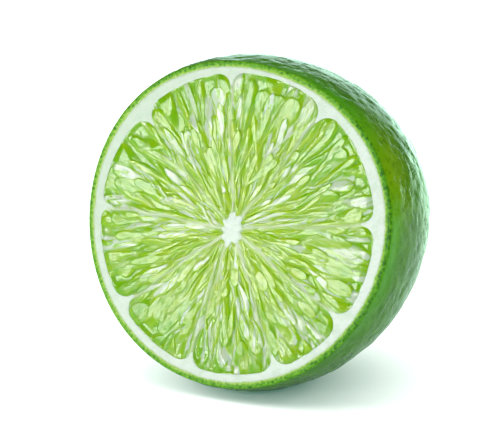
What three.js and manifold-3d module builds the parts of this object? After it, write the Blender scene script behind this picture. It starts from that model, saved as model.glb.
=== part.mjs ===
// Half of a lime, cut across its axis and standing on its peel with the cut face to the front.
// Millimetres, +Z up, the cut face towards -Y. The origin is at the middle of the bounding box's base,
// on the surface that the half stands on.

import * as THREE from 'three';
import { mergeVertices } from 'three/addons/utils/BufferGeometryUtils.js';
import Module from 'manifold-3d';

const wasm = await Module();
wasm.setup();

// ---- the fruit ----
const peelRadius = 26;          // at the widest section, a fruit 52 mm across
const halfLength = 27.8;        // from the widest section to the blossom end
const cutForward = 9.1;         // the cut lies this far in front of the widest section
const nippleHeight = 2.2;       // the small point at the blossom end
const nippleRadius = 4.5;
const faceTilt = 13;            // degrees that the cut face leans back from upright
const restTrim = 1.3;           // how far the peel is flattened where the half stands
const driftUp = 0.047;          // the fruit isn't quite straight: rise per mm behind the cut
const driftAcross = -0.027;

// The outline is a little out of round: a few lobes, each a share of the radius, turned by degrees.
const outOfRound = [
  { lobes: 2, share: 0.0115, turn: -11 },
  { lobes: 3, share: 0.0125, turn: 16 },
  { lobes: 4, share: 0.0045, turn: 34 },
];

// ---- the cut face ----
const pulpRadius = 22.3;        // inside the white pith
const coreRadius = 1.9;         // where the segments' inner ends stop
const coreDrop = 0.8;           // the core sits a little below the axis
const wallHalfWidth = 0.25;     // half of the skin between two segments
const cornerRadius = 2.1;       // of the segments' outer corners
const pocketDepth = 0.4;        // the pulp lies this far below the pith
const wallAngles = [6, 54, 96.5, 137.5, 179, 219.5, 257, 294.5, 327];   // degrees, anticlockwise

// ---- how finely it is divided ----
const profileSteps = 32;
const sidesAround = 72;
const arcSteps = 4;

const radians = THREE.MathUtils.degToRad;

function toSolid(geometry) {
  const bare = geometry.index ? geometry.toNonIndexed() : geometry.clone();
  bare.deleteAttribute('normal');
  bare.deleteAttribute('uv');
  const merged = mergeVertices(bare, 1e-4);
  return new wasm.Manifold(new wasm.Mesh({
    numProp: 3,
    vertProperties: new Float32Array(merged.attributes.position.array),
    triVerts: new Uint32Array(merged.index.array),
  }));
}

function toGeometry(solid) {
  const mesh = solid.getMesh();
  const geometry = new THREE.BufferGeometry();
  geometry.setAttribute('position', new THREE.BufferAttribute(mesh.vertProperties, 3));
  geometry.setIndex(new THREE.BufferAttribute(mesh.triVerts, 1));
  return geometry;
}

// The fruit's half profile, from the blossom end round to the cut and back to the axis.
function fruitProfile() {
  const lastAngle = Math.PI - Math.acos(cutForward / halfLength);
  const points = [];
  for (let i = 0; i <= profileSteps; i += 1) {
    const angle = lastAngle * i / profileSteps;
    const radius = peelRadius * Math.sin(angle);
    const backShare = Math.max(0, Math.cos(angle));
    const nipple = nippleHeight * backShare * Math.exp(-((radius / nippleRadius) ** 2));
    points.push(new THREE.Vector2(radius, -halfLength * Math.cos(angle) - nipple));
  }
  points.push(new THREE.Vector2(0, cutForward));
  return points;
}

// A turned fruit, pushed out of round and leaned a little: local Y is its axis and local -Z is up.
function fruitBody() {
  const geometry = new THREE.LatheGeometry(fruitProfile(), sidesAround);
  const place = geometry.attributes.position;
  for (let i = 0; i < place.count; i += 1) {
    const [x, y, up] = [place.getX(i), place.getY(i), -place.getZ(i)];
    const around = Math.atan2(up, x);
    const stretch = outOfRound.reduce(
      (sum, lobe) => sum + lobe.share * Math.cos(lobe.lobes * (around - radians(lobe.turn))), 1);
    const behind = cutForward - y;
    place.setXYZ(i, x * stretch + driftAcross * behind, y, -(up * stretch + driftUp * behind));
  }
  return toSolid(geometry);
}

// One segment's outline in the cut face: a wedge between two walls with rounded corners. Both walls
// run from the core to the pulp's edge, and the pulp's edge is a circle about the fruit's axis.
function segmentOutline(firstWall, lastWall) {
  const core = new THREE.Vector2(0, -coreDrop);
  const quarter = Math.PI / 2;
  const wallTurn = (wall) => {
    const edge = new THREE.Vector2(Math.cos(radians(wall)), Math.sin(radians(wall)));
    return edge.multiplyScalar(pulpRadius).sub(core).angle();
  };
  const from = wallTurn(firstWall);
  const to = from + THREE.MathUtils.euclideanModulo(wallTurn(lastWall) - from, 2 * Math.PI);

  // An outer corner's centre is cornerRadius inside both the wall's face and the pulp's edge.
  const cornerCentre = (turn, side) => {
    const along = new THREE.Vector2(Math.cos(turn), Math.sin(turn));
    const across = new THREE.Vector2(-along.y, along.x).multiplyScalar(side);
    const start = core.clone().addScaledVector(across, wallHalfWidth + cornerRadius);
    const dot = start.dot(along);
    const reach = pulpRadius - cornerRadius;
    return start.addScaledVector(along, -dot + Math.sqrt(dot ** 2 - start.lengthSq() + reach ** 2));
  };
  const first = cornerCentre(from, 1);
  const last = cornerCentre(to, -1);

  const spread = Math.sin((to - from) / 2);
  const tipRadius = (coreRadius * spread - wallHalfWidth) / (1 - spread);
  const middle = (from + to) / 2;
  const tip = new THREE.Vector2(Math.cos(middle), Math.sin(middle));
  tip.multiplyScalar(coreRadius + tipRadius).add(core);

  const edgeFrom = first.angle();
  const edgeTo = edgeFrom + THREE.MathUtils.euclideanModulo(last.angle() - edgeFrom, 2 * Math.PI);
  const lastTurn = edgeTo + THREE.MathUtils.euclideanModulo(to + quarter - edgeTo, 2 * Math.PI);
  const firstTurn = edgeFrom - THREE.MathUtils.euclideanModulo(edgeFrom - from + quarter, 2 * Math.PI);
  const outline = new THREE.Shape();
  outline.absarc(tip.x, tip.y, tipRadius, to + quarter, from + 3 * quarter, false);
  outline.absarc(first.x, first.y, cornerRadius, firstTurn, edgeFrom, false);
  outline.absarc(0, 0, pulpRadius, edgeFrom, edgeTo, false);
  outline.absarc(last.x, last.y, cornerRadius, edgeTo, lastTurn, false);
  outline.closePath();
  return outline;
}

// The shallow pockets that the pulp lies in, as cutters standing over the cut face.
function segmentPockets() {
  const above = 1;
  return wallAngles.map((firstWall, i) => {
    const lastWall = wallAngles[(i + 1) % wallAngles.length];
    const cutter = new THREE.ExtrudeGeometry(segmentOutline(firstWall, lastWall), {
      depth: pocketDepth + above, bevelEnabled: false, curveSegments: arcSteps,
    });
    cutter.translate(0, 0, -pocketDepth);
    cutter.rotateX(-Math.PI / 2);
    cutter.translate(0, cutForward, 0);
    return toSolid(cutter);
  });
}

// Everything below the surface that the half stands on.
function belowTheRest(level) {
  const depth = 20;
  const slab = new THREE.BoxGeometry(4 * peelRadius, 4 * peelRadius, depth);
  slab.translate(0, 0, level - depth / 2);
  return toSolid(slab);
}

// Turned so that the cut face looks forward and up, flattened underneath and set on the origin.
function standingHalf() {
  const cut = segmentPockets().reduce((left, pocket) => left.subtract(pocket), fruitBody());
  const turned = toGeometry(cut);
  turned.rotateX(Math.PI - radians(faceTilt));
  turned.computeBoundingBox();
  const restLevel = turned.boundingBox.min.z + restTrim;
  const standing = toGeometry(toSolid(turned).subtract(belowTheRest(restLevel)));
  standing.computeBoundingBox();
  const { min, max } = standing.boundingBox;
  standing.translate(-(min.x + max.x) / 2, -(min.y + max.y) / 2, -restLevel);
  standing.computeVertexNormals();
  return standing;
}

const peel = new THREE.MeshStandardMaterial({ color: 0x3f8f1e, roughness: 0.35, metalness: 0 });
const limeHalf = new THREE.Mesh(standingHalf(), peel);
limeHalf.name = 'lime_half';

const fruit = new THREE.Group();
fruit.add(limeHalf);

export default fruit;
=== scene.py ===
import math

import bmesh
import bpy
import numpy as np
from mathutils import Matrix, Vector, noise


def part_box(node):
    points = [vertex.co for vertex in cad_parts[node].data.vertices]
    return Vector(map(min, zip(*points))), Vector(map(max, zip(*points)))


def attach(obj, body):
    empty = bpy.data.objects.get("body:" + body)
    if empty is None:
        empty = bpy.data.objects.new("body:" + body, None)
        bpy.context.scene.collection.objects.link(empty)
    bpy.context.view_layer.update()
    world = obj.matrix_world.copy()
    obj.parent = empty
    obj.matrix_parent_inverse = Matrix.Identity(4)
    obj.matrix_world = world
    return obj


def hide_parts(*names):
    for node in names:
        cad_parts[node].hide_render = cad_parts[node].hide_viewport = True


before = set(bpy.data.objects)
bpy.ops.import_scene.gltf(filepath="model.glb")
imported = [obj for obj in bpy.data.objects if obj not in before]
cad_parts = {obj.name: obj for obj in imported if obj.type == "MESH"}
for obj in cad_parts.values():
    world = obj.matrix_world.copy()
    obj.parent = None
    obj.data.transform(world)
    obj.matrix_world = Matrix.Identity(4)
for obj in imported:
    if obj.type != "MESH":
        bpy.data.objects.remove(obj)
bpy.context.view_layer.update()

lowCorner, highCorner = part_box("lime_half")
mm = 0.001
weldGap = 0.0005              # mm, under which two points are one

# The shapes are worked out in millimetres on the cut face: X across it, Y up it and Z out of it,
# with the fruit's axis at the middle. onTheFloor then stands the finished pieces in the frame.

fruit = {
    "peelRadius": 26.0,       # at the widest section
    "halfLength": 27.8,       # from there to the blossom end
    "cutForward": 9.1,        # the cut lies this far in front of the widest section
    "nippleHeight": 2.2,      # the small point at the blossom end
    "nippleRadius": 4.5,
    "faceTilt": 13.0,         # degrees that the cut face leans back
    "restTrim": 1.3,          # the cap that is flattened off underneath
    "driftUp": 0.047,         # rise of the axis for each mm behind the cut
    "driftAcross": -0.027,
    "lobes": ((2, 0.0115, -11), (3, 0.0125, 16), (4, 0.0045, 34)),   # count, share, turn
    "wallAngles": (6, 54, 96.5, 137.5, 179, 219.5, 257, 294.5, 327),   # degrees, anticlockwise
    "coreDrop": 0.8,          # the core sits a little below the axis
    "pulpRadius": 22.3,
    "pithRadius": 23.75,
    "wallHalfWidth": 0.2,
}
core = np.array((0.0, -fruit["coreDrop"]))


def radiusStretch(around):
    stretch = 1.0
    for count, share, turn in fruit["lobes"]:
        stretch = stretch + share * np.cos(count * (around - math.radians(turn)))
    return stretch


def smoothStep(low, high, value):
    part = np.clip((value - low) / (high - low), 0, 1)
    return part * part * (3 - 2 * part)


def bump(value, width):
    return np.exp(-(value / width) ** 2)


def readPlaces(mesh):
    places = np.empty(len(mesh.vertices) * 3, np.float32)
    mesh.vertices.foreach_get("co", places)
    return places.reshape(-1, 3).astype(float)


def writeValue(mesh, name, values):
    layer = mesh.attributes.get(name) or mesh.attributes.new(name, "FLOAT", "POINT")
    layer.data.foreach_set("value", np.asarray(values, np.float32))


def noiseAt(places, size, seed=0, octaves=2):
    shift = Vector((seed * 7.31, seed * 3.17, seed * 5.53))     # so that no two seeds look alike
    scaled = np.asarray(places) / np.asarray(size)
    return np.array([noise.fractal(Vector(p) + shift, 1.0, 2.0, octaves) for p in scaled])


# points of the smooth skin, by their angle from the blossom end and their turn around the axis
def skinPlaces(angle, around):
    radius = fruit["peelRadius"] * np.sin(angle)
    back = np.maximum(0, np.cos(angle)) * bump(radius, fruit["nippleRadius"])
    behind = fruit["cutForward"] + fruit["halfLength"] * np.cos(angle) + fruit["nippleHeight"] * back
    radius = radius * radiusStretch(around)
    return np.stack((radius * np.cos(around) + fruit["driftAcross"] * behind,
                     radius * np.sin(around) + fruit["driftUp"] * behind, -behind), axis=-1)


def turnedUp(places):
    tilt = math.radians(fruit["faceTilt"])
    x, y, z = np.asarray(places, float).T
    return np.stack((x, y * math.sin(tilt) - z * math.cos(tilt),
                     y * math.cos(tilt) + z * math.sin(tilt)), axis=-1)


# The skin's own box, sampled about every degree, says how far to move it onto the CAD node's box.
cutAngle = math.pi - math.acos(fruit["cutForward"] / fruit["halfLength"])
sampleAngle, sampleAround = np.meshgrid(np.linspace(0, cutAngle, 200), np.linspace(0, 2 * math.pi, 361))
skinBox = turnedUp(skinPlaces(sampleAngle.ravel(), sampleAround.ravel()))
skinLow, skinHigh = skinBox.min(axis=0), skinBox.max(axis=0)
standing = np.array((
    (lowCorner[0] + highCorner[0]) / 2 / mm - (skinLow[0] + skinHigh[0]) / 2,
    (lowCorner[1] + highCorner[1]) / 2 / mm - (skinLow[1] + skinHigh[1]) / 2,
    lowCorner[2] / mm - skinLow[2] - fruit["restTrim"],
))


def onTheFloor(places):
    return (turnedUp(places) + standing) * mm


fruitMiddle = Vector(onTheFloor([(0, 0, -fruit["cutForward"])])[0])


# a grid whose two shares, across and along, go through shape to places in millimetres
def gridMesh(columns, rows, shape, weld=0.0):
    sheet = bmesh.new()
    bmesh.ops.create_grid(sheet, x_segments=columns, y_segments=rows, size=0.5)
    shares = np.array([vertex.co for vertex in sheet.verts]) + 0.5
    for vertex, place in zip(sheet.verts, shape(shares[:, 0], shares[:, 1])):
        vertex.co = place
    if weld:
        bmesh.ops.remove_doubles(sheet, verts=sheet.verts, dist=weld)
    return sheet


fruitPieces = bpy.data.collections.new("fruitPieces")     # what the lamps on the fruit shine on


def finishPiece(name, sheet, material):
    bmesh.ops.recalc_face_normals(sheet, faces=sheet.faces)
    mesh = bpy.data.meshes.new(name)
    sheet.to_mesh(mesh)
    sheet.free()
    mesh.shade_smooth()
    piece = bpy.data.objects.new(name, mesh)
    bpy.context.scene.collection.objects.link(piece)
    fruitPieces.objects.link(piece)
    mesh.materials.append(material)
    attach(piece, "root")
    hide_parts("lime_half")
    print("made", name, len(mesh.vertices), "points")
    return piece


def standPiece(piece, places):
    piece.data.vertices.foreach_set("co", onTheFloor(places).ravel().astype(np.float32))
    piece.data.update()


def addNode(tree, kind, inputs=None, **settings):
    node = tree.nodes.new("ShaderNode" + kind)
    for name, value in settings.items():
        setattr(node, name, value)
    for key, value in (inputs or {}).items():
        if isinstance(value, bpy.types.NodeSocket):
            tree.links.new(value, node.inputs[key])
        else:
            node.inputs[key].default_value = value
    return node


def mathNode(tree, operation, first, second, clamp=False):
    return addNode(tree, "Math", {0: first, 1: second}, operation=operation, use_clamp=clamp).outputs[0]


def times(tree, first, second, clamp=False):
    return mathNode(tree, "MULTIPLY", first, second, clamp)


# the sum of several values, each times its own weight
def weighted(tree, *parts):
    total = None
    for value, weight in parts:
        part = value if weight == 1 else times(tree, value, weight)
        total = part if total is None else mathNode(tree, "ADD", total, part)
    return total


def mixColour(tree, share, first, second):
    first, second = ((*colour, 1) if isinstance(colour, tuple) else colour for colour in (first, second))
    return addNode(tree, "Mix", {0: share, 6: first, 7: second}, data_type="RGBA").outputs[2]


def remap(tree, value, low, high, newLow=0.0, newHigh=1.0):
    limits = {"Value": value, "From Min": low, "From Max": high, "To Min": newLow, "To Max": newHigh}
    return addNode(tree, "MapRange", limits).outputs[0]


def ramp(tree, value, stops):
    node = addNode(tree, "ValToRGB", {0: value})
    elements = node.color_ramp.elements
    while len(elements) < len(stops):
        elements.new(0.5)
    for element, (position, colour) in zip(elements, stops):
        element.position = position
        element.color = (*colour, 1)
    return node.outputs[0]


def attribute(tree, name):
    return addNode(tree, "Attribute", attribute_name=name).outputs["Fac"]


def combine(tree, x, y, z):
    return addNode(tree, "CombineXYZ", {0: x, 1: y, 2: z}).outputs[0]


def noiseNode(tree, vector, size, detail=2.0, distortion=0.0, roughness=0.5):
    settings = {"Vector": vector, "Scale": 1 / size, "Detail": detail, "Distortion": distortion,
                "Roughness": roughness}
    return addNode(tree, "TexNoise", settings).outputs["Fac"]


def newMaterial(name):
    material = bpy.data.materials.new(name)
    material.use_nodes = True
    tree = material.node_tree
    shader = tree.nodes["Principled BSDF"]
    place = addNode(tree, "TexCoord").outputs["Object"]
    return material, tree, shader, place


def setShader(shader, finish):
    for name, value in finish.items():
        shader.inputs[name].default_value = value


def addRelief(tree, shader, height, strength, depth):
    relief = addNode(tree, "Bump", {"Strength": strength, "Distance": depth * mm, "Height": height})
    tree.links.new(relief.outputs[0], shader.inputs["Normal"])


# scattered flecks with soft edges: pores and oil glands in the peel, fibres' ends in the pith
def fleckGroup():
    group = bpy.data.node_groups.new("flecks", "ShaderNodeTree")
    group.interface.new_socket("Place", in_out="INPUT", socket_type="NodeSocketVector")
    group.interface.new_socket("Spacing", in_out="INPUT", socket_type="NodeSocketFloat")
    group.interface.new_socket("Fleck Size", in_out="INPUT", socket_type="NodeSocketFloat")
    group.interface.new_socket("Mask", in_out="OUTPUT", socket_type="NodeSocketFloat")
    given = group.nodes.new("NodeGroupInput")
    result = group.nodes.new("NodeGroupOutput")
    scale = mathNode(group, "DIVIDE", 1.0, given.outputs["Spacing"])
    cells = addNode(group, "TexVoronoi", {"Vector": given.outputs["Place"], "Scale": scale,
                                          "Randomness": 0.9})
    part = mathNode(group, "DIVIDE", cells.outputs["Distance"], given.outputs["Fleck Size"], clamp=True)
    group.links.new(mathNode(group, "SUBTRACT", 1.0, part), result.inputs["Mask"])
    return group


flecks = fleckGroup()


def addFlecks(tree, place, spacing, size):      # spacing in mm, size as a share of it
    node = tree.nodes.new("ShaderNodeGroup")
    node.node_tree = flecks
    tree.links.new(place, node.inputs["Place"])
    node.inputs["Spacing"].default_value = spacing * mm
    node.inputs["Fleck Size"].default_value = size
    return node.outputs["Mask"]


# The peel: the dimpled green skin, and the thin green ring of it that the cut shows.

peelValues = {
    "columns": 470,
    "skinRows": 190,
    "edgeStop": 0.008,        # radians before the cut where the skin rounds over
    # the ring of the cut: mm in from its edge, and level
    "cutRing": ((0.03, -0.09), (0.1, -0.03), (0.25, 0.0), (0.45, 0.0), (0.7, -0.03), (0.95, -0.08)),
    "innerRadius": 23.2,      # where the cut ring goes under the pith
    "recessDepth": 1.3,
    "poreSpacing": 1.3,
    "poreDepth": 0.14,
    "lumpSize": 5.0,
    "lumpHeight": 0.14,
    "rippleSize": 1.5,
    "rippleHeight": 0.07,
    "blotchSize": 9.0,        # of the skin's darker and lighter areas
    "mottleSize": 1.6,
    "cutGrainSize": 0.45,
    "specks": (1.05, 0.34),   # spacing and share, of the dark specks in the skin
    "glands": (0.62, 0.55),   # of the oil glands in the cut ring
    "pits": (0.42, 0.5),      # of the finest pits in the skin
    "darkGreen": (0.035, 0.155, 0.001),
    "midGreen": (0.09, 0.29, 0.001),
    # the green painted as light on the skin by the cut, on the lit side
    "paintedLitGreen": (0.10, 0.50, 0.0),
    "ripeGreen": (0.22, 0.45, 0.0),
    "poreGreen": (0.012, 0.075, 0.004),
    "speckGreen": (0.012, 0.07, 0.004),
    # the cut ring's greens, from its glands to its pale inner edge
    "rimGreens": ((0.20, (0.030, 0.155, 0.003)), (0.42, (0.09, 0.35, 0.006)), (0.62, (0.20, 0.50, 0.03)),
                  (0.80, (0.36, 0.62, 0.06)), (1.0, (0.50, 0.70, 0.25))),
    "paintedLitTurn": 26,          # degrees round from +X: the side that is lighter by the cut, which is painted light, and where the cut ring is painted a deeper green
    "ripeTurn": 24,
    "paleRimTurn": 66,
    "finish": {"IOR": 1.28, "Subsurface Weight": 0.08, "Subsurface Radius": (0.5, 1.0, 0.2),
               "Subsurface Scale": 0.8 * mm},
}


def peelMaterial():
    values = peelValues
    material, tree, shader, place = newMaterial("limePeel")
    names = ("rim", "ripe", "pore", "paintedLitSide", "paintedLitNearCut", "inward", "rimTone")
    rim, ripe, pore, paintedLitSide, paintedLitNearCut, inward, rimTone = (attribute(tree, name) for name in names)

    blotches = noiseNode(tree, place, values["blotchSize"] * mm, 3, 0.4)
    mottle = noiseNode(tree, place, values["mottleSize"] * mm, 3)
    tone = weighted(tree, (blotches, 0.75), (mottle, 0.35))
    skin = ramp(tree, tone, ((0.38, values["darkGreen"]), (0.72, values["midGreen"])))
    # painted light: the skin by the cut is a lighter, brighter green on the lit side
    bright = times(tree, paintedLitNearCut, paintedLitSide, clamp=True)
    skin = mixColour(tree, times(tree, bright, 0.85), skin, values["paintedLitGreen"])
    glow = times(tree, ripe, remap(tree, mottle, 0.2, 0.8, 0.65, 1.15), clamp=True)
    skin = mixColour(tree, glow, skin, values["ripeGreen"])
    skin = mixColour(tree, times(tree, pore, 0.35), skin, values["poreGreen"])
    specks = addFlecks(tree, place, *values["specks"])
    skin = mixColour(tree, times(tree, specks, 0.45), skin, values["speckGreen"])

    glands = addFlecks(tree, place, *values["glands"])
    grain = noiseNode(tree, place, values["cutGrainSize"] * mm, 4, 0.5, 0.65)
    # rimTone deepens the cut ring's green on the lit side as painted light and shade, and pales it round
    # paleRimTurn
    cutTone = weighted(tree, (inward, 0.62), (grain, 1.15), (glands, -0.34), (rimTone, 1))
    cut = ramp(tree, cutTone, values["rimGreens"])
    tree.links.new(mixColour(tree, rim, skin, cut), shader.inputs["Base Color"])

    skinRoughness = remap(tree, noiseNode(tree, place, 3 * mm, 3), 0.3, 0.7, 0.18, 0.28)
    tree.links.new(weighted(tree, (skinRoughness, 1), (rim, 0.2)), shader.inputs["Roughness"])
    setShader(shader, values["finish"])
    pits = addFlecks(tree, place, *values["pits"])
    addRelief(tree, shader, weighted(tree, (mottle, 0.8), (pits, -0.25)), 0.8, 0.12)
    return material


def peelSheet(edgeRadius):
    values = peelValues
    skinRows = values["skinRows"]
    skinAngles = np.linspace(0, cutAngle - values["edgeStop"], skinRows)
    inner, bottom = values["innerRadius"], -values["recessDepth"]
    cutRows = [(edgeRadius - inFromEdge, level) for inFromEdge, level in values["cutRing"]]
    cutRows += [(inner, -0.12), (inner - 0.1, bottom), (12.0, bottom - 0.3), (0.0, bottom - 0.4)]
    rows = skinRows + len(cutRows)

    def shape(across, along):
        row = np.rint(along * (rows - 1)).astype(int)
        around = across * 2 * math.pi
        places = skinPlaces(skinAngles[np.minimum(row, skinRows - 1)], around)
        for step, (radius, level) in enumerate(cutRows):
            here = row == skinRows + step
            wide = radius * radiusStretch(around[here])
            places[here] = np.stack((wide * np.cos(around[here]), wide * np.sin(around[here]),
                                     np.full(here.sum(), level)), axis=-1)
        return places

    # the rows at the two poles and the seam come together here
    return gridMesh(values["columns"], rows - 1, shape, weld=weldGap)


def buildPeel():
    values = peelValues
    edgeRadius = fruit["peelRadius"] * math.sin(cutAngle)
    piece = finishPiece("peel", peelSheet(edgeRadius), peelMaterial())
    mesh = piece.data
    places = readPlaces(mesh)
    x, y, z = places.T        # these follow places as the skin is dented
    radius = np.hypot(x, y)
    around = np.arctan2(y, x)
    underPith = (radius < values["innerRadius"] * radiusStretch(around) + 0.05) & (z > -2.0)
    onSkin = (z < -0.12) & ~underPith
    cutPart = 1 - smoothStep(0.05, 0.30, -z)

    cells = np.array([noise.voronoi(Vector(p / values["poreSpacing"]))[0][0] for p in places])
    uneven = noiseAt(places, 7.0, seed=3)
    pore = np.clip(1 - cells / 0.52, 0, 1) ** 1.3 * smoothStep(-0.75, 0.35, uneven)
    lumps = noiseAt(places, values["lumpSize"], seed=1, octaves=3)
    ripples = noiseAt(places, values["rippleSize"], seed=2)
    dent = values["lumpHeight"] * lumps + values["rippleHeight"] * ripples - values["poreDepth"] * pore
    dent = dent * smoothStep(0.1, 2.0, -z)      # none at the cut's edge
    normals = np.empty(len(mesh.vertices) * 3, np.float32)
    mesh.vertices.foreach_get("normal", normals)
    places[onSkin] += (normals.reshape(-1, 3) * dent[:, None])[onSkin]
    onCut = ~onSkin & (z > -0.2)
    wobble = 0.05 * noiseAt(places, 0.9, seed=5) + 0.04 * noiseAt(places, 0.35, seed=6)
    places[onCut, 2] += (wobble * smoothStep(0, 0.3, fruit["peelRadius"] - radius))[onCut]

    turn = around - math.radians(values["ripeTurn"])
    turn = np.arctan2(np.sin(turn), np.cos(turn))
    ripe = bump(turn, 0.27) * (1 - smoothStep(2.5, 8.5, -z))
    # painted light by side: this value lightens the skin by the cut and deepens the cut ring's green towards
    # that turn
    paintedLitSide = 0.5 + 0.5 * np.cos(around - math.radians(values["paintedLitTurn"]))
    paleTurn = around - math.radians(values["paleRimTurn"])
    edge = edgeRadius * radiusStretch(around)
    writeValue(mesh, "paintedLitSide", paintedLitSide ** 1.5)
    writeValue(mesh, "rimTone", 0.17 * bump(paleTurn, 0.55) - 0.22 * paintedLitSide ** 1.5)
    writeValue(mesh, "paintedLitNearCut", (1 - smoothStep(0.3, 4.5, -z)) * paintedLitSide ** 2)
    writeValue(mesh, "rim", cutPart * ~((radius > 23) & (z < -0.4)))
    writeValue(mesh, "ripe", np.clip(ripe, 0, 1))
    writeValue(mesh, "pore", pore)
    writeValue(mesh, "inward", smoothStep(0.45, 1.0, edge - radius))

    standPiece(piece, places)
    settled = readPlaces(mesh)
    settled[:, 2] = np.maximum(settled[:, 2], lowCorner[2])    # the flat that the half rests on
    mesh.vertices.foreach_set("co", settled.ravel().astype(np.float32))
    mesh.update()


# The pith: the white ring inside the peel, which runs in between the segments' rounded corners.

pithValues = {
    "columns": 1080,
    # its section: share of the way from the segments to the peel, and level
    "section": ((0.03, -0.95), (0.0, -0.55), (0.0, -0.28), (0.03, -0.10), (0.10, -0.02), (0.22, 0.0),
                (0.36, 0.0), (0.5, 0.0), (0.64, 0.0), (0.78, 0.0), (0.88, -0.01), (0.96, -0.05),
                (1.0, -0.12), (1.0, -0.45), (0.9, -0.95)),
    "notchRadii": (2.1, 2.5, 1.9, 2.6, 1.8, 2.4, 2.0, 2.2, 2.5),    # of the segments' corners
    "white": (0.84, 0.95, 0.86),
    "shade": (0.70, 0.84, 0.70),
    "dullWhite": (0.58, 0.72, 0.54),
    "edgeGreen": (0.40, 0.60, 0.24),      # where it meets the peel
    "dullTurn": 150,          # degrees round to the greener side
    "finish": {"Roughness": 0.55, "Subsurface Weight": 0.35, "Subsurface Radius": (0.8, 1.0, 0.7),
               "Subsurface Scale": 0.6 * mm},
}


def wallOffset(around, wall):
    gap = around - math.radians(fruit["wallAngles"][wall])
    return np.arctan2(np.sin(gap), np.cos(gap))


# distance from the axis to the pith, which comes further in at each wall
def pulpOutline(around):
    outline = np.full(np.shape(around), fruit["pulpRadius"], float)
    for wall, corner in enumerate(pithValues["notchRadii"]):
        reach = fruit["pulpRadius"] - corner
        cornerTurn = math.asin((fruit["wallHalfWidth"] + corner) / reach)
        gap = np.abs(wallOffset(around, wall))
        side = reach * np.sin(cornerTurn - gap)
        rounded = reach * np.cos(cornerTurn - gap) + np.sqrt(np.maximum(corner ** 2 - side ** 2, 0))
        outline = np.where(gap < cornerTurn, np.minimum(outline, rounded), outline)
    return outline


def waver(around, seed, size):
    ring = np.stack((24 * np.cos(around), 24 * np.sin(around), np.zeros_like(around)), axis=-1)
    return noiseAt(ring, size, seed, octaves=3)


def pithMaterial():
    values = pithValues
    material, tree, shader, place = newMaterial("limePith")
    clouds = noiseNode(tree, place, 1.6 * mm, 4, 0.3)
    spots = addFlecks(tree, place, 0.55, 0.45)
    grain = noiseNode(tree, place, 0.28 * mm, 3, 0.3)
    tone = weighted(tree, (clouds, 0.8), (spots, 0.18), (grain, 0.6))
    body = ramp(tree, tone, ((0.52, values["shade"]), (0.80, values["white"])))
    fineEdge = remap(tree, noiseNode(tree, place, 0.35 * mm, 3), 0.3, 0.6, 0.2, 1.0)
    stain = times(tree, attribute(tree, "edge"), fineEdge, clamp=True)
    body = mixColour(tree, attribute(tree, "dull"), body, values["dullWhite"])
    body = mixColour(tree, stain, body, values["edgeGreen"])
    tree.links.new(body, shader.inputs["Base Color"])
    setShader(shader, values["finish"])
    addRelief(tree, shader, tone, 0.8, 0.10)
    return material


def buildPith(material):
    values = pithValues
    section = values["section"]
    shares, levels = np.array(section).T

    def shape(across, along):
        around = across * 2 * math.pi
        row = np.rint(along * len(section)).astype(int) % len(section)
        inner = pulpOutline(around) + 0.07 * waver(around, 11, 1.2)
        outer = fruit["pithRadius"] + 0.16 * waver(around, 12, 1.1) + 0.12 * waver(around, 13, 5.0)
        radius = inner + (outer * radiusStretch(around) - inner) * shares[row]
        level = levels[row] + 0.02 * waver(around + row, 14, 1.5) * (levels[row] > -0.2)
        return np.stack((radius * np.cos(around), radius * np.sin(around), level), axis=-1)

    sheet = gridMesh(values["columns"], len(section), shape, weld=weldGap)
    piece = finishPiece("pith", sheet, material)
    places = readPlaces(piece.data)
    radius = np.hypot(places[:, 0], places[:, 1])
    around = np.arctan2(places[:, 1], places[:, 0])
    outer = fruit["pithRadius"] * radiusStretch(around)
    dull = 0.5 + 0.5 * np.cos(around - math.radians(values["dullTurn"]))
    writeValue(piece.data, "edge", 1 - smoothStep(0.0, 0.32, outer - radius))
    writeValue(piece.data, "dull", 0.6 * dull ** 1.5)
    standPiece(piece, places)


coreValues = {
    "columns": 360,
    "rows": 14,
    "halfWidth": 1.30,
    "halfHeight": 2.35,
    "lean": 0.25,             # radians
    "rays": (0.3, 0.9, 0.1, 0.5, 0.3, 0.9, 1.2, 0.2, 0.6),    # length of each wall's ray
    "rayWidth": 0.21,
    "uneven": 0.30,           # share that its outline wanders
    "level": 0.08,
}


def buildCore(material):
    values = coreValues

    def shape(across, along):
        around = across * 2 * math.pi
        leaned = around - values["lean"]
        plain = 1 / np.hypot(np.cos(around) / values["halfWidth"], np.sin(leaned) / values["halfHeight"])
        for wall, ray in enumerate(values["rays"]):
            plain = plain + ray * bump(wallOffset(around, wall), values["rayWidth"])
        plain = plain * (1 + values["uneven"] * waver(around, 21, 15.0))
        share = np.minimum(along * 1.25, 1)      # four fifths of the rows for the top, the rest for the side
        depth = np.where(along > 0.8, (along - 0.8) * 5, 0)
        level = values["level"] - 0.22 * share ** 4 - 0.9 * depth
        across, up = plain * share * np.cos(around), plain * share * np.sin(around)
        level = level + 0.05 * share * noiseAt(np.stack((across, up, share), axis=-1), 0.8, seed=22)
        return np.stack((core[0] + across, core[1] + up, level), axis=-1)

    sheet = gridMesh(values["columns"], values["rows"], shape, weld=weldGap)
    bmesh.ops.holes_fill(sheet, edges=sheet.edges, sides=0)
    piece = finishPiece("core", sheet, material)
    places = readPlaces(piece.data)
    writeValue(piece.data, "edge", np.zeros(len(places)))
    writeValue(piece.data, "dull", np.zeros(len(places)))
    standPiece(piece, places)


# The pulp: nine segments of overlapping juice sacs, with pale walls between them.

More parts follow.
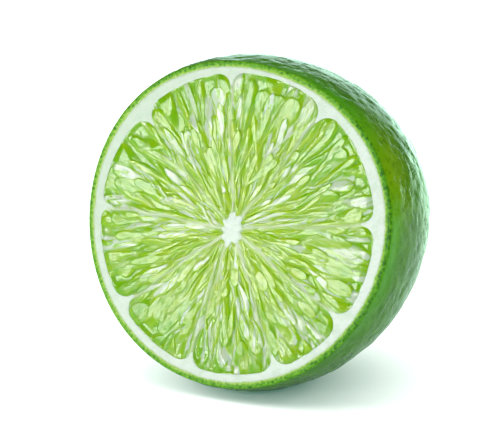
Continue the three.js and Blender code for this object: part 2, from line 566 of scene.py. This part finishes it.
pulpValues = {
    "seed": 7,
    "columns": 150,
    "rows": 210,
    "innerReach": 0.7,        # from the core's centre, under the core
    "outerReach": 22.8,       # from the axis, under the pith
    "skirtDepth": 1.1,
    "bottom": (9, -1.25),     # where the underside comes to a point: reach from the core, and level
    "wallPale": (0.8, 0.6, 0.7, 0.5, 1.0, 0.95, 0.8, 0.95, 1.0),   # how white each wall shows
    # bands from the rind inwards: reach from the core, how many, half length, half width, tilt
    "bands": ((17.0, 22.5, 13, 3.4, 1.25, 0.17), (11.5, 19.0, 19, 5.4, 0.82, 0.17),
              (6.5, 13.0, 18, 5.2, 0.56, 0.15), (3.0, 8.0, 12, 3.8, 0.41, 0.13),
              (0.8, 4.0, 7, 1.8, 0.36, 0.12)),
    "tries": 12,              # places tried for each sac, of which the emptiest is kept
    "warp": 0.32,             # mm that the sacs' outlines wander
    "fineWarp": 0.08,
    "openShare": 0.16,        # cut sacs that lie open, near the rind
    "filmAndHighlightShare": 0.24,        # sacs with a whitish film, partly the skin that cut sacs keep and partly painted highlight
    "rindFilmAndHighlight": 0.4,          # of that share, in the band by the rind
    # from the deepest green to the palest
    "greens": ((0.36, (0.20, 0.49, 0.0)), (0.54, (0.30, 0.55, 0.0)), (0.74, (0.40, 0.60, 0.02)),
               (0.95, (0.38, 0.58, 0.09))),
    # the film's whitish grey: partly skin, partly painted highlight
    "filmAndHighlightColour": (0.62, 0.72, 0.60),
    "seamColour": (0.44, 0.63, 0.20),
    "wallColour": (0.72, 0.85, 0.56),
    "borderGreen": (0.10, 0.33, 0.004),
    "finish": {"IOR": 1.46, "Subsurface Weight": 0.5, "Subsurface Radius": (0.7, 1.0, 0.2),
               "Subsurface Scale": 1.6 * mm},
}


def wallTurns():
    turns = []
    for angle in fruit["wallAngles"]:
        edge = fruit["pulpRadius"] * np.array((math.cos(math.radians(angle)), math.sin(math.radians(angle))))
        turns.append(math.atan2(*(edge - core)[::-1]))
    return np.unwrap(turns)


def wallWander(wall, reach):
    phase = 1.7 * wall
    return 0.22 * np.sin(reach * 0.33 + phase) + 0.10 * np.sin(reach * 0.9 + 2 * phase)


# distance from the core along turn to a circle about the axis
def reachToCircle(turn, radius):
    dot = core[0] * np.cos(turn) + core[1] * np.sin(turn)
    return -dot + np.sqrt(dot ** 2 - core @ core + radius ** 2)


def placeSacs(dice, turnFrom, turnTo):
    values = pulpValues
    sacs = []
    for low, high, count, halfLength, halfWidth, tilt in values["bands"]:
        byTheRind = high > 20
        filmAndHighlightShare = values["filmAndHighlightShare"] * (values["rindFilmAndHighlight"] if byTheRind else 1.0)
        placed = []
        for _ in range(count):
            best = None
            for _ in range(values["tries"]):
                reach = math.sqrt(dice.uniform(low ** 2, high ** 2))
                turn = dice.uniform(turnFrom, turnTo)
                spot = np.array((reach, turn * reach))
                gap = min((np.hypot((spot[0] - other[0]) / halfLength, (spot[1] - other[1]) / halfWidth)
                           for other in placed), default=9)
                if best is None or gap > best[0]:
                    best = (gap, spot, reach, turn)
            _, spot, reach, turn = best
            placed.append(spot)
            sacs.append({
                "centre": core + reach * np.array((math.cos(turn), math.sin(turn))),
                "turn": turn + dice.normal(0, 0.15),
                "halfLength": halfLength * dice.uniform(0.7, 1.3),
                "halfWidth": halfWidth * dice.uniform(0.7, 1.3),
                "level": dice.uniform(-0.30, -0.12),
                "crown": dice.uniform(0.10, 0.2),
                "tiltAlong": dice.normal(0, tilt * 0.55),
                "tiltAcross": dice.normal(0, tilt),
                "open": reach > 12 and dice.random() < values["openShare"],
                "tone": dice.uniform(0, 1),
                "filmAndHighlight": dice.uniform(0.5, 1.0) if dice.random() < filmAndHighlightShare else 0.0,
            })
    return sacs


# the topmost sac's height at each point, how far it stands over the next one, its tone and its whitish film,
# which is partly painted highlight
def sacHeights(sacs, x, y):
    first = np.full(x.shape, -0.36)
    second = np.full(x.shape, -0.45)
    tone = np.full(x.shape, 0.15)
    filmAndHighlight = np.zeros(x.shape)
    for sac in sacs:
        dx, dy = x - sac["centre"][0], y - sac["centre"][1]
        along = dx * math.cos(sac["turn"]) + dy * math.sin(sac["turn"])
        across = -dx * math.sin(sac["turn"]) + dy * math.cos(sac["turn"])
        share = along / sac["halfLength"]
        blunt = np.clip((share - 0.3) / 0.7, 0, 1)      # club-shaped: the tail points to the core
        width = 1.25 * sac["halfWidth"] * np.clip(0.5 + 0.5 * share, 1e-4, 1) ** 0.8
        width = width * np.sqrt(np.clip(1 - blunt ** 2.2, 1e-4, 1))
        off = np.abs(across) / width
        top = 1 - 0.55 * off ** 2 - 0.45 * off ** 6 - 0.25 * share ** 6
        height = sac["level"] + sac["crown"] * top + sac["tiltAlong"] * along + sac["tiltAcross"] * across
        if sac["open"]:
            bowl = np.clip(1 - (off ** 2 + share ** 2), 0, 1)
            height = height - 0.55 * bowl * np.minimum(1, bowl * 2.2) * sac["halfWidth"] * 0.5
        height = np.where((np.abs(share) < 1) & (off < 1.25), height, -1.0)
        above = height > first
        second = np.where(above, first, np.maximum(second, height))
        tone = np.where(above, sac["tone"], tone)
        # open sacs are painted whitish across their hollows: partly skin, partly painted highlight
        cover = 0.9 if sac["open"] else sac["filmAndHighlight"]
        filmAndHighlight = np.where(above, cover * np.clip(1.15 - off ** 3 - 0.5 * share ** 4, 0, 1), filmAndHighlight)
        first = np.where(above, height, first)
    return first, first - second, tone, filmAndHighlight


def pulpMaterial():
    values = pulpValues
    material, tree, shader, place = newMaterial("limePulp")
    names = ("tone", "seam", "reach", "turn", "border", "wall", "filmAndHighlight")
    tone, seam, reach, turn, border, wall, filmAndHighlight = (attribute(tree, name) for name in names)
    # patterns drawn out along the sacs, and differently on each one
    sacPlace = combine(tree, times(tree, reach, 0.22), turn, tone)
    hairPlace = combine(tree, times(tree, reach, 0.10), turn, times(tree, tone, 2.0))
    streaks = noiseNode(tree, sacPlace, 0.75, 3, 0.6)
    hairs = noiseNode(tree, hairPlace, 0.20, 2, 0.4)
    clouds = noiseNode(tree, place, 2.2 * mm, 3, 0.5)

    outwards = remap(tree, reach, 4, 22, 0.09, -0.20)
    level = weighted(tree, (tone, 0.18), (streaks, 0.60), (clouds, 0.45), (outwards, 1))
    body = ramp(tree, level, values["greens"])
    patchy = remap(tree, noiseNode(tree, sacPlace, 0.8, 3, 0.8), 0.42, 0.50)
    # the whitish film on the sacs: partly the skin left on cut sacs, partly painted highlight
    veil = times(tree, times(tree, filmAndHighlight, 1.5), patchy, clamp=True)
    body = mixColour(tree, times(tree, veil, 0.9), body, values["filmAndHighlightColour"])
    seams = times(tree, seam, remap(tree, hairs, 0.3, 0.7, 0.35, 1.0), clamp=True)
    body = mixColour(tree, times(tree, seams, 0.75), body, values["seamColour"])
    hairLines = remap(tree, hairs, 0.57, 0.68, 0.0, 0.45)
    hairLines = times(tree, hairLines, remap(tree, reach, 11, 18, 1.0, 0.35))
    body = mixColour(tree, hairLines, body, values["seamColour"])
    body = mixColour(tree, wall, body, values["wallColour"])
    body = mixColour(tree, times(tree, border, 0.2), body, values["borderGreen"])
    tree.links.new(body, shader.inputs["Base Color"])
    tree.links.new(remap(tree, wall, 0.1, 0.8, 0.09, 0.35), shader.inputs["Roughness"])
    setShader(shader, values["finish"])
    swell = noiseNode(tree, sacPlace, 0.55, 2, 0.2)
    addRelief(tree, shader, weighted(tree, (swell, 0.7), (hairs, 0.5)), 0.55, 0.15)
    return material


def segmentSheet(index, nextWall, turnFrom, turnTo):
    values = pulpValues

    def shape(across, along):
        turn = turnFrom + (turnTo - turnFrom) * across
        outer = reachToCircle(turn, values["outerReach"])
        reach = values["innerReach"] + (outer - values["innerReach"]) * along
        bend = wallWander(index, reach) * (1 - across) + wallWander(nextWall, reach) * across
        turn = turn + bend / np.maximum(reach, 2.0) * smoothStep(0, 6, reach)
        return np.stack((core[0] + reach * np.cos(turn), core[1] + reach * np.sin(turn),
                         np.zeros_like(turn)), axis=-1)

    sheet = gridMesh(values["columns"], values["rows"], shape)
    rimEdges = [edge for edge in sheet.edges if edge.is_boundary]
    skirt = bmesh.ops.extrude_edge_only(sheet, edges=rimEdges)["geom"]
    skirtPoints = [item for item in skirt if isinstance(item, bmesh.types.BMVert)]
    bmesh.ops.translate(sheet, verts=skirtPoints, vec=(0, 0, -values["skirtDepth"]))
    skirtEdges = [item for item in skirt if isinstance(item, bmesh.types.BMEdge)]
    bottom = bmesh.ops.extrude_edge_only(sheet, edges=skirtEdges)["geom"]
    bottomPoints = [item for item in bottom if isinstance(item, bmesh.types.BMVert)]
    reach, level = values["bottom"]
    middleTurn = (turnFrom + turnTo) / 2
    middle = core + reach * np.array((math.cos(middleTurn), math.sin(middleTurn)))
    bmesh.ops.pointmerge(sheet, verts=bottomPoints, merge_co=(*middle, level))
    return sheet


def buildSegment(index, turns, material):
    values = pulpValues
    dice = np.random.default_rng(values["seed"] * 100 + index)
    nextWall = (index + 1) % len(turns)
    turnFrom = turns[index]
    turnTo = turns[nextWall] + (2 * math.pi if nextWall == 0 else 0)
    sacs = placeSacs(dice, turnFrom, turnTo)
    sheet = segmentSheet(index, nextWall, turnFrom, turnTo)
    piece = finishPiece("pulpSegment%d" % (index + 1), sheet, material)

    places = readPlaces(piece.data)
    x, y, z = places.T
    onTop = z > -0.5
    reach = np.hypot(x - core[0], y - core[1])
    turn = np.arctan2(y - core[1], x - core[0])
    toPith = pulpOutline(np.arctan2(y, x)) - np.hypot(x, y)
    warpX, warpY = (values["warp"] * noiseAt(places, 4.5, seed, 1)
                    + values["fineWarp"] * noiseAt(places, 1.4, seed + 2, 1) for seed in (41, 42))
    height, gap, tone, filmAndHighlight = sacHeights(sacs, x + warpX, y + warpY)

    middleTurn = (turnFrom + turnTo) / 2
    local = np.arctan2(np.sin(turn - middleTurn), np.cos(turn - middleTurn)) + middleTurn
    firstGap = np.abs((local - turnFrom) * reach - wallWander(index, reach) * smoothStep(0, 6, reach))
    lastGap = np.abs((turnTo - local) * reach + wallWander(nextWall, reach) * smoothStep(0, 6, reach))
    wallGap = np.minimum(firstGap, lastGap)
    swell = 0.035 * noiseAt(places, 3.0, seed=31) + 0.006 * noiseAt(places, 0.7, seed=32)
    height = np.clip(height, -0.7, 0.12) + swell
    height = height + 0.05 * np.exp(-gap / 0.05) - 0.06 * bump(wallGap, 0.35)      # seams and walls
    height = height + (-0.02 - height) * 0.85 * bump(np.maximum(toPith, 0), 0.45)      # up to the pith
    ridge = -0.04 - 2.0 * np.maximum(wallGap - 0.08, 0)
    height = np.maximum(height, ridge)
    height = np.where(toPith < 0, np.minimum(height, -0.05), height)      # under the pith
    height = height - 0.25 * (1 - smoothStep(1.2, 2.6, reach))      # down beside the core
    places[:, 2] = np.where(onTop, height, z)

    pale = np.where(firstGap < lastGap, values["wallPale"][index], values["wallPale"][nextWall])
    reachShare = np.maximum(1 - smoothStep(5, 13, reach), 0.52 + 0.4 * smoothStep(16, 21, reach))
    wallLine = bump(wallGap, 0.30) * pale * reachShare
    writeValue(piece.data, "tone", tone)
    writeValue(piece.data, "filmAndHighlight", filmAndHighlight)
    writeValue(piece.data, "seam", bump(gap, 0.06) * (tone > 0))
    writeValue(piece.data, "reach", reach)
    writeValue(piece.data, "turn", (local - middleTurn) * reach + 20 * index)
    writeValue(piece.data, "border", bump(np.maximum(toPith, 0), 0.32) * (wallGap > 0.3))
    writeValue(piece.data, "wall", np.clip(wallLine, 0, 1))
    standPiece(piece, places)


# The studio: a white floor with a soft shadow, lamps and the camera.

studio = {
    "azimuth": 25.5,          # of the camera, degrees towards +X from the front
    "elevation": 15.0,
    "distance": 257.3,        # mm from the middle of the widest section
    "lens": 120.9,
    "slide": (-1.17, -0.12),  # mm along the view's right and up
    # degrees round from the front and up, metres away, size, radiance where 1 is white, colour,
    # what it shines on, and whether it shows in reflections
    "lamps": (
        ("keySoftbox", -24, 12, 0.50, (0.17, 0.19), 14.5, (1, 1, 1), "all", True),
        ("topSoftbox", 200, 60, 0.80, (0.80, 0.50), 1.5, (0.95, 1.0, 0.97), "fruit", False),
        ("floorLight", 206, 68, 0.90, (3.00, 2.10), 3.0, (1, 1, 1), "floor", False),
        ("floorLeft", -72, 20, 0.80, (0.80, 0.40), 10.5, (1, 1, 1), "floor", False),
        ("floorRight", 118, 20, 0.80, (0.80, 0.40), 5.0, (1, 1, 1), "floor", False),
        ("sideSoftbox", 84, 30, 0.60, (0.35, 0.35), 3.4, (1, 1, 1), "fruit", False),
        ("backPanel", 190, 8, 0.70, (0.50, 0.30), 2.3, (0.66, 1.0, 0.88), "fruit", True),
    ),
    "room": 0.12,             # how brightly the white room lights things
    "floorRadius": 6.0,       # metres
    "floorSeen": 0.69,        # how white the floor is to the camera
    "floorLift": 0.13,        # and the glow that keeps it white there
    "shadowTint": (0.25, 1.0, 0.72),
    "floorFades": (0.10, 0.40),     # metres out to where the floor is plain white
    "floorBounce": (0.29, 0.30, 0.29),      # darker to everything else, as a studio's table is
    "floorReflects": (0.40, 0.56, 0.46),
    "floorGlint": 3.6,        # its glow in reflections, most of it on one side
    "glintTint": (0.56, 1.0, 0.72),
    "glintTurn": 205,
}


def direction(azimuth, elevation):
    turn, lift = math.radians(azimuth), math.radians(elevation)
    return Vector((math.sin(turn) * math.cos(lift), -math.cos(turn) * math.cos(lift), math.sin(lift)))


def aimAt(place, target):
    return (Vector(target) - Vector(place)).to_track_quat("-Z", "Y").to_matrix().to_4x4()


def addLamp(name, azimuth, elevation, distance, size, radiance, colour, glossy):
    light = bpy.data.lights.new(name, "AREA")
    light.shape = "RECTANGLE"
    light.size, light.size_y = size
    light.energy = radiance * math.pi * size[0] * size[1]
    light.color = colour
    lamp = bpy.data.objects.new(name, light)
    bpy.context.scene.collection.objects.link(lamp)
    place = fruitMiddle + distance * direction(azimuth, elevation)
    lamp.matrix_world = Matrix.Translation(place) @ aimAt(place, fruitMiddle)
    lamp.visible_camera = False
    lamp.visible_glossy = glossy
    return lamp


def buildRoom():
    world = bpy.data.worlds.new("whiteRoom")
    world.use_nodes = True
    tree = world.node_tree
    background = tree.nodes["Background"]
    seen = addNode(tree, "LightPath").outputs["Is Camera Ray"]
    tree.links.new(remap(tree, seen, 0, 1, studio["room"], 1.0), background.inputs["Strength"])
    background.inputs["Color"].default_value = (1, 1, 1, 1)
    bpy.context.scene.world = world


def floorMaterial():
    material, tree, shader, place = newMaterial("whiteFloor")
    ray = addNode(tree, "LightPath").outputs
    seen, glossy = ray["Is Camera Ray"], ray["Is Glossy Ray"]
    bounce = mixColour(tree, glossy, studio["floorBounce"], studio["floorReflects"])
    body = mixColour(tree, seen, bounce, (studio["floorSeen"],) * 3)
    tree.links.new(body, shader.inputs["Base Color"])

    far = addNode(tree, "VectorMath", {0: place}, operation="LENGTH").outputs["Value"]
    outwards = addNode(tree, "VectorMath", {0: place}, operation="NORMALIZE").outputs[0]
    towards = {0: outwards, 1: direction(studio["glintTurn"], 0)}
    facing = addNode(tree, "VectorMath", towards, operation="DOT_PRODUCT").outputs["Value"]
    glint = times(tree, glossy, remap(tree, facing, 0.64, 0.97, 0.04, 1.0))
    lift = remap(tree, far, *studio["floorFades"], studio["floorLift"], 1.0)
    glow = weighted(tree, (glint, studio["floorGlint"]), (times(tree, seen, lift), 1))
    tree.links.new(glow, shader.inputs["Emission Strength"])
    farShare = remap(tree, far, *studio["floorFades"])
    tint = mixColour(tree, farShare, studio["shadowTint"], (1, 1, 1))
    tree.links.new(mixColour(tree, glossy, tint, studio["glintTint"]), shader.inputs["Emission Color"])
    setShader(shader, {"Roughness": 0.9, "Specular IOR Level": 0.1})
    return material


def buildFloor():
    mesh = bpy.data.meshes.new("floor")
    sheet = bmesh.new()
    bmesh.ops.create_circle(sheet, cap_ends=True, segments=96, radius=studio["floorRadius"])
    bmesh.ops.translate(sheet, verts=sheet.verts, vec=(0, 0, lowCorner[2]))
    sheet.to_mesh(mesh)
    sheet.free()
    mesh.materials.append(floorMaterial())
    floor = bpy.data.objects.new("floor", mesh)
    bpy.context.scene.collection.objects.link(floor)
    return floor


def addCamera():
    scene = bpy.context.scene
    toCamera = direction(studio["azimuth"], studio["elevation"])
    turn = math.radians(studio["azimuth"])
    right = Vector((math.cos(turn), math.sin(turn), 0))
    up = toCamera.cross(right)
    slide = studio["slide"][0] * right + studio["slide"][1] * up
    place = fruitMiddle + mm * (studio["distance"] * toCamera + slide)
    camera = bpy.data.cameras.new("camera")
    camera.lens = studio["lens"]
    camera.sensor_width = 36
    camera.clip_start = 0.01
    cameraObject = bpy.data.objects.new("camera", camera)
    scene.collection.objects.link(cameraObject)
    cameraObject.matrix_world = Matrix.Translation(place) @ aimAt(toCamera, (0, 0, 0))
    scene.camera = cameraObject
    scene.view_settings.view_transform = "Standard"


def buildStudio():
    lamps = [(addLamp(*lamp[:7], lamp[8]), lamp[7]) for lamp in studio["lamps"]]
    buildRoom()
    floorOnly = bpy.data.collections.new("litByFloorLight")
    floorOnly.objects.link(buildFloor())
    for lamp, lights in lamps:
        if lights == "fruit":
            lamp.light_linking.receiver_collection = fruitPieces
            lamp.data.use_shadow = False
        elif lights == "floor":
            lamp.light_linking.receiver_collection = floorOnly      # they whiten it and throw the shadow
    addCamera()
    print("made the studio,", len(lamps), "lamps")


buildStudio()
buildPeel()
white = pithMaterial()
buildPith(white)
buildCore(white)
juicy = pulpMaterial()
turns = wallTurns()
for index in range(len(turns)):
    buildSegment(index, turns, juicy)
